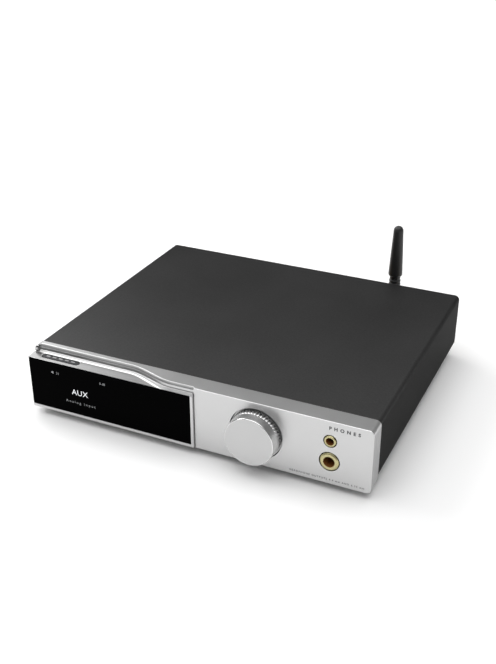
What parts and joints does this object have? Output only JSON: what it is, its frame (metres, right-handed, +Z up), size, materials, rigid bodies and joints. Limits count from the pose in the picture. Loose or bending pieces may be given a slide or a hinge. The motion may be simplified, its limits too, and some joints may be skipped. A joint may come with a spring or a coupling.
{
  "type": "desktop dac",
  "caption": "Low desktop audio converter and amplifier: silver front panel with black display, push-and-turn volume knob, headphone jacks, black case and tilting rear antenna.",
  "frame": {"origin": "centre of the overall footprint, on the plane the rubber feet stand on", "axes": "+X to the right seen from the front, +Y towards the rear connectors (the front panel faces -Y), +Z up"},
  "size_m": [0.21, 0.2014, 0.0782],
  "materials": {
    "silver_aluminium": "bead-blasted clear anodised",
    "silver_knob": "satin machined, clear anodised",
    "black_case": "fine-texture satin black",
    "zinc_steel": "zinc plated",
    "display_glass": "polished black glass over an unlit panel",
    "black_plastic": "moulded black",
    "red_plastic": "moulded red",
    "rubber": "matt black rubber",
    "gold_plate": "gold flash over brass",
    "nickel_plate": "nickel plated",
    "circuit_board": "green solder mask",
    "badge": "dark anodised",
    "heat_sink": "black anodised",
    "yellow_tape": "wound tape",
    "capacitor_sleeve": "shrink sleeve",
    "ferrite": "pressed powder",
    "ribbon": "flat cable",
    "display_frame": "stamped frame"
  },
  "bodies": {
    "chassis": {"front_panel": "silver_aluminium", "display_bezel": "silver_aluminium", "badge_plate": "badge", "display_window": "display_glass", "display_module": "display_frame", "display_board": "circuit_board", "display_connector": "black_plastic", "cover_shell": "black_case", "bottom_tray": "zinc_steel", "base_screw_1": "zinc_steel", "base_screw_2": "zinc_steel", "base_screw_3": "zinc_steel", "base_screw_4": "zinc_steel", "rear_panel": "black_case", "foot_1": "rubber", "foot_2": "rubber", "foot_3": "rubber", "foot_4": "rubber", "encoder_nut": "zinc_steel", "encoder_body": "black_plastic", "jack_635_bushing": "gold_plate", "jack_44_bushing": "gold_plate", "jack_635_housing": "black_plastic", "jack_44_housing": "black_plastic", "control_board": "circuit_board", "main_board": "circuit_board", "supply_board": "circuit_board", "transformer": "yellow_tape", "capacitor_1": "capacitor_sleeve", "capacitor_2": "capacitor_sleeve", "heat_sink": "heat_sink", "output_coil_1": "ferrite", "output_coil_2": "ferrite", "converter_chip": "black_plastic", "ribbon_cable": "ribbon", "ribbon_header": "black_plastic", "mains_inlet": "black_plastic", "rocker_frame": "black_plastic", "phono_right": "gold_plate", "phono_left": "gold_plate", "coaxial_socket": "gold_plate", "optical_socket": "black_plastic", "usb_socket": "nickel_plate", "antenna_socket": "gold_plate", "post_base_1": "gold_plate", "post_base_2": "gold_plate", "post_base_3": "gold_plate", "post_base_4": "gold_plate"},
    "knob_plunger": {"encoder_plunger": "nickel_plate"},
    "knob": {"volume_knob": "silver_knob", "encoder_shaft": "nickel_plate"},
    "rocker": {"power_rocker": "black_plastic"},
    "flap": {"optical_flap": "black_plastic"},
    "antenna_swivel": {"antenna_collar": "black_plastic"},
    "antenna_whip": {"antenna_knuckle": "black_plastic", "antenna_whip": "rubber"},
    "post_cap_1": {"post_cap_1": "red_plastic"},
    "post_cap_2": {"post_cap_2": "black_plastic"},
    "post_cap_3": {"post_cap_3": "red_plastic"},
    "post_cap_4": {"post_cap_4": "black_plastic"}
  },
  "joints": [
    {"name": "knob_push", "type": "slide", "parent": "chassis", "child": "knob_plunger", "axis": [0, 1, 0], "range_m": [0, 0.0005], "stiffness_N_per_m": 1500, "springref_m": -0.0012},
    {"name": "knob_turn", "type": "hinge", "parent": "knob_plunger", "child": "knob", "pos_m": [0.0394, -0.0915, 0.02335], "axis": [0, -1, 0], "continuous": true},
    {"name": "antenna_turn", "type": "hinge", "parent": "chassis", "child": "antenna_swivel", "pos_m": [0.0576, 0.096, 0.029], "axis": [0, 1, 0], "range_deg": [-60, 60]},
    {"name": "antenna_tilt", "type": "hinge", "parent": "antenna_swivel", "child": "antenna_whip", "pos_m": [0.0576, 0.096, 0.029], "axis": [-1, 0, 0], "range_deg": [0, 90]},
    {"name": "power_switch", "type": "hinge", "parent": "chassis", "child": "rocker", "pos_m": [-0.052, 0.0805, 0.0245], "axis": [1, 0, 0], "range_deg": [0, 20]},
    {"name": "flap_open", "type": "hinge", "parent": "chassis", "child": "flap", "pos_m": [0.0765, 0.0827, 0.0335], "axis": [-1, 0, 0], "range_deg": [0, 80], "stiffness_Nm_per_rad": 0.0003, "springref_deg": -17.19},
    {"name": "post_cap_1_turn", "type": "hinge", "parent": "chassis", "child": "post_cap_1", "pos_m": [-0.032, 0.092, 0.0245], "axis": [0, 1, 0], "range_deg": [0, 720]},
    {"name": "post_cap_2_turn", "type": "hinge", "parent": "chassis", "child": "post_cap_2", "pos_m": [-0.016, 0.092, 0.0245], "axis": [0, 1, 0], "range_deg": [0, 720]},
    {"name": "post_cap_3_turn", "type": "hinge", "parent": "chassis", "child": "post_cap_3", "pos_m": [0, 0.092, 0.0245], "axis": [0, 1, 0], "range_deg": [0, 720]},
    {"name": "post_cap_4_turn", "type": "hinge", "parent": "chassis", "child": "post_cap_4", "pos_m": [0.016, 0.092, 0.0245], "axis": [0, 1, 0], "range_deg": [0, 720]}
  ]
}
